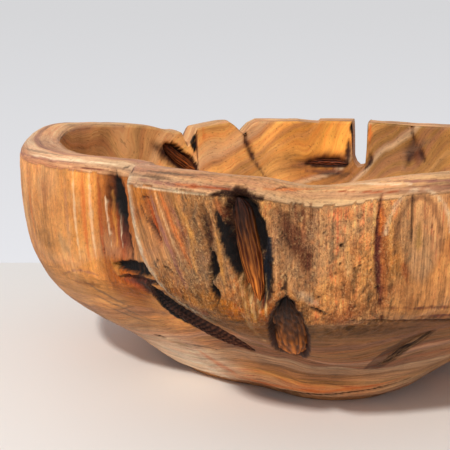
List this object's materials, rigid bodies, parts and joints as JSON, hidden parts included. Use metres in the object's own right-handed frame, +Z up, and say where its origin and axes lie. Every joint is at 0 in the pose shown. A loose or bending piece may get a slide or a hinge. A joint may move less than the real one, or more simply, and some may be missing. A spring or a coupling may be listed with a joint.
{
  "type": "carved wooden bowl",
  "caption": "Deep round-bottomed bowl carved from root wood, with a lobed outline, a thick rounded rim broken by natural gaps, bark-filled hollows and a low foot.",
  "frame": {"origin": "middle of the resting face under the hollow, at table level", "axes": "+Z up out of the hollow, -Y towards the front lobe, +X to the right as seen from the front"},
  "size_m": [0.3759, 0.3827, 0.1403],
  "materials": {
    "wood": "satin oiled wood with golden brown, orange and cream grain",
    "bark": "rough fibrous red-brown bark",
    "dead_knot": "rough dark dead wood"
  },
  "bodies": {
    "root": {"bowl_body": "wood", "front_bark": "bark", "front_dead_knot": "dead_knot", "seam_bark": "bark", "side_bark": "bark", "inner_dead_knot": "dead_knot", "inner_bark": "bark"}
  },
  "joints": []
}
